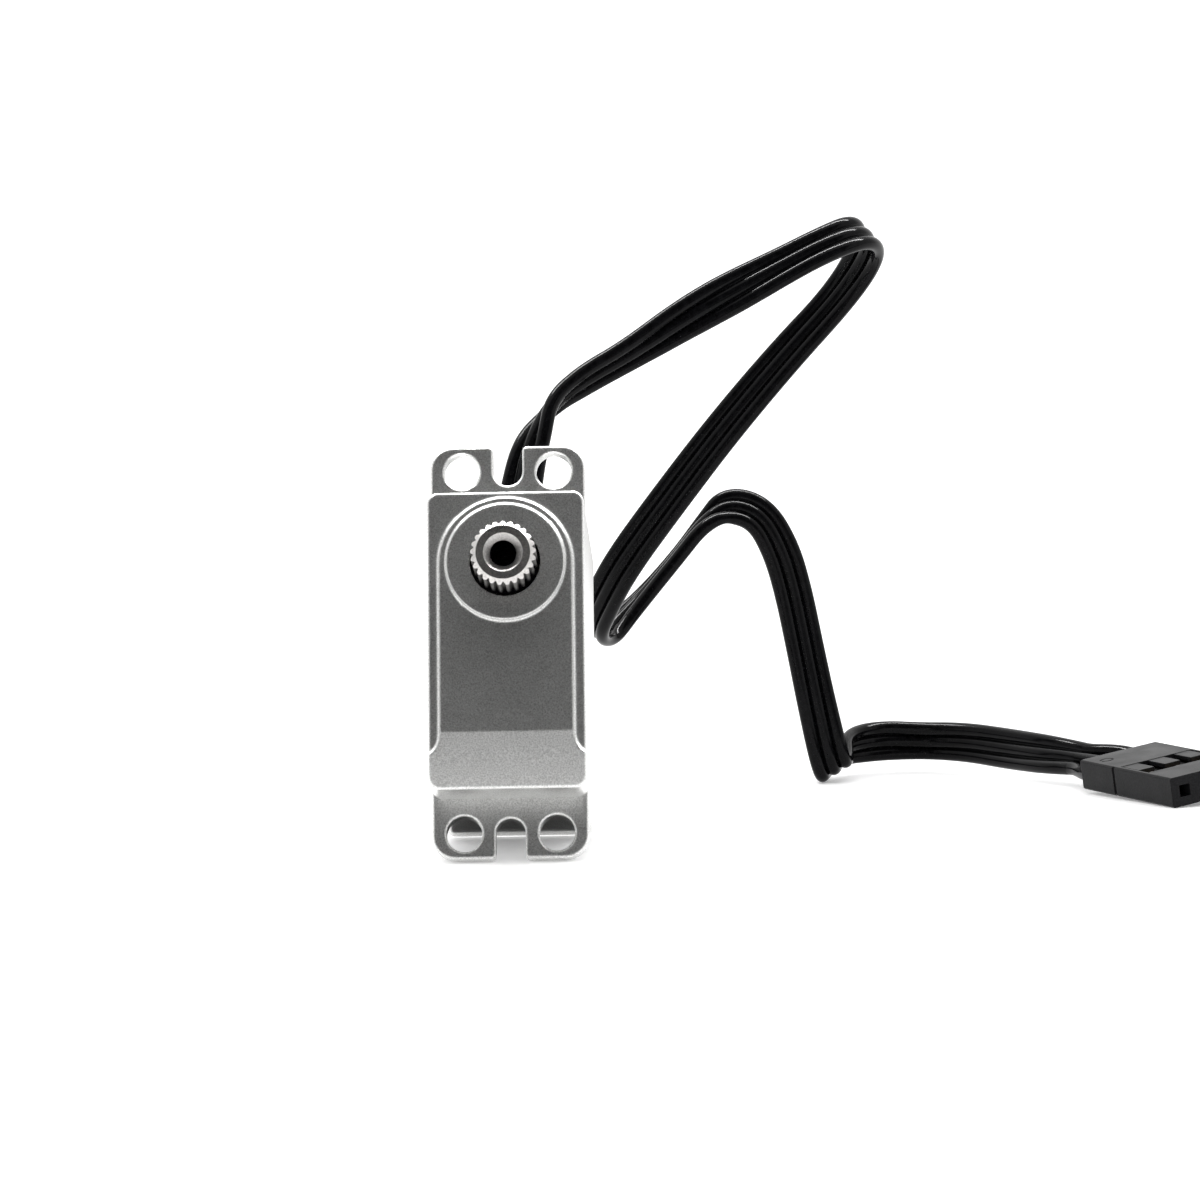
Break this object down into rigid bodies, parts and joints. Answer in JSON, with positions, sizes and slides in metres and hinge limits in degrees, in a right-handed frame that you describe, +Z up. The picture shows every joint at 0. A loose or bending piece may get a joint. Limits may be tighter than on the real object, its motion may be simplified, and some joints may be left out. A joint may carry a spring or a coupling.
{
  "type": "servo motor",
  "caption": "Micro servo in a metal case with two slotted mounting lugs, a splined output shaft, a geared motor inside, and a short flat lead ending in a socket plug.",
  "frame": {"origin": "bottom centre of the standing servo's box, without the lead and plug", "axes": "+Z up as it stands on its lower lug and rear edge, +X across its width, and the output shaft faces -Y, tipped up by the lean of 16.1 degrees"},
  "size_m": [0.0653, 0.0657, 0.0491],
  "materials": {
    "case_metal": "bead-blasted grey anodised aluminium",
    "steel": "machined steel",
    "motor_steel": "drawn nickel-plated steel",
    "magnet": "sintered magnet",
    "brass": "machined brass",
    "copper_winding": "enamelled copper wire set in resin",
    "seal_rubber": "matte black rubber",
    "lead_jacket": "glossy black soft insulation",
    "plug_plastic": "satin black moulded plastic",
    "inner_plastic": "black moulded plastic",
    "board": "green glass-filled board",
    "capacitor": "moulded capacitor body"
  },
  "bodies": {
    "case": {"top_case": "case_metal", "middle_case": "case_metal", "bottom_case": "case_metal", "top_seal": "seal_rubber", "bottom_seal": "seal_rubber", "case_screws": "steel", "gear_pin": "steel", "upper_bearing_outer_ring": "steel", "lower_bearing_outer_ring": "steel", "motor_can": "motor_steel", "motor_magnet": "magnet", "motor_end_cap": "inner_plastic", "motor_terminals": "brass", "motor_screws": "steel", "pot_housing": "inner_plastic", "pot_track": "brass", "control_board": "board", "board_chips": "inner_plastic", "board_capacitor": "capacitor", "inner_leads": "lead_jacket", "wire_grommet": "seal_rubber", "servo_lead": "lead_jacket", "plug_housing": "plug_plastic", "plug_terminals": "brass", "lead_tails": "lead_jacket"},
    "output": {"output_shaft": "steel", "upper_bearing_inner_ring": "steel", "lower_bearing_inner_ring": "steel", "pot_wiper": "inner_plastic"},
    "third_idler": {"third_gear": "steel"},
    "second_idler": {"second_gear": "steel"},
    "first_idler": {"first_gear": "brass"},
    "rotor": {"motor_shaft": "steel", "motor_pinion": "brass", "motor_coil": "copper_winding"},
    "upper_balls": {"upper_bearing_balls": "steel"},
    "lower_balls": {"lower_bearing_balls": "steel"}
  },
  "joints": [
    {"name": "output_turn", "type": "hinge", "parent": "case", "child": "output", "pos_m": [0, -0.0046, 0.02152], "axis": [0, -0.9609, 0.277], "range_deg": [-90, 90]},
    {"name": "third_gear_turn", "type": "hinge", "parent": "case", "child": "third_idler", "pos_m": [0, -0.00616, 0.01614], "axis": [0, -0.9609, 0.277], "range_deg": [-280, 280]},
    {"name": "second_gear_turn", "type": "hinge", "parent": "case", "child": "second_idler", "pos_m": [0, -0.0046, 0.02152], "axis": [0, -0.9609, 0.277], "range_deg": [-840, 840]},
    {"name": "first_gear_turn", "type": "hinge", "parent": "case", "child": "first_idler", "pos_m": [0, -0.00616, 0.01614], "axis": [0, -0.9609, 0.277], "range_deg": [-2856, 2856]},
    {"name": "motor_turn", "type": "hinge", "parent": "case", "child": "rotor", "pos_m": [0, -0.00762, 0.01104], "axis": [0, -0.9609, 0.277], "range_deg": [-16065, 16065]},
    {"name": "upper_ball_ring_turn", "type": "hinge", "parent": "case", "child": "upper_balls", "pos_m": [0, -0.0046, 0.02152], "axis": [0, -0.9609, 0.277], "range_deg": [-38.77, 38.77]},
    {"name": "lower_ball_ring_turn", "type": "hinge", "parent": "case", "child": "lower_balls", "pos_m": [0, -0.0046, 0.02152], "axis": [0, -0.9609, 0.277], "range_deg": [-35.36, 35.36]}
  ],
  "couplings": [
    {"joint": "third_gear_turn", "follows": "output_turn", "ratio": -3.1111},
    {"joint": "second_gear_turn", "follows": "output_turn", "ratio": 9.3333},
    {"joint": "first_gear_turn", "follows": "output_turn", "ratio": -31.733},
    {"joint": "motor_turn", "follows": "output_turn", "ratio": 178.5},
    {"joint": "upper_ball_ring_turn", "follows": "output_turn", "ratio": 0.43077},
    {"joint": "lower_ball_ring_turn", "follows": "output_turn", "ratio": 0.39286}
  ]
}
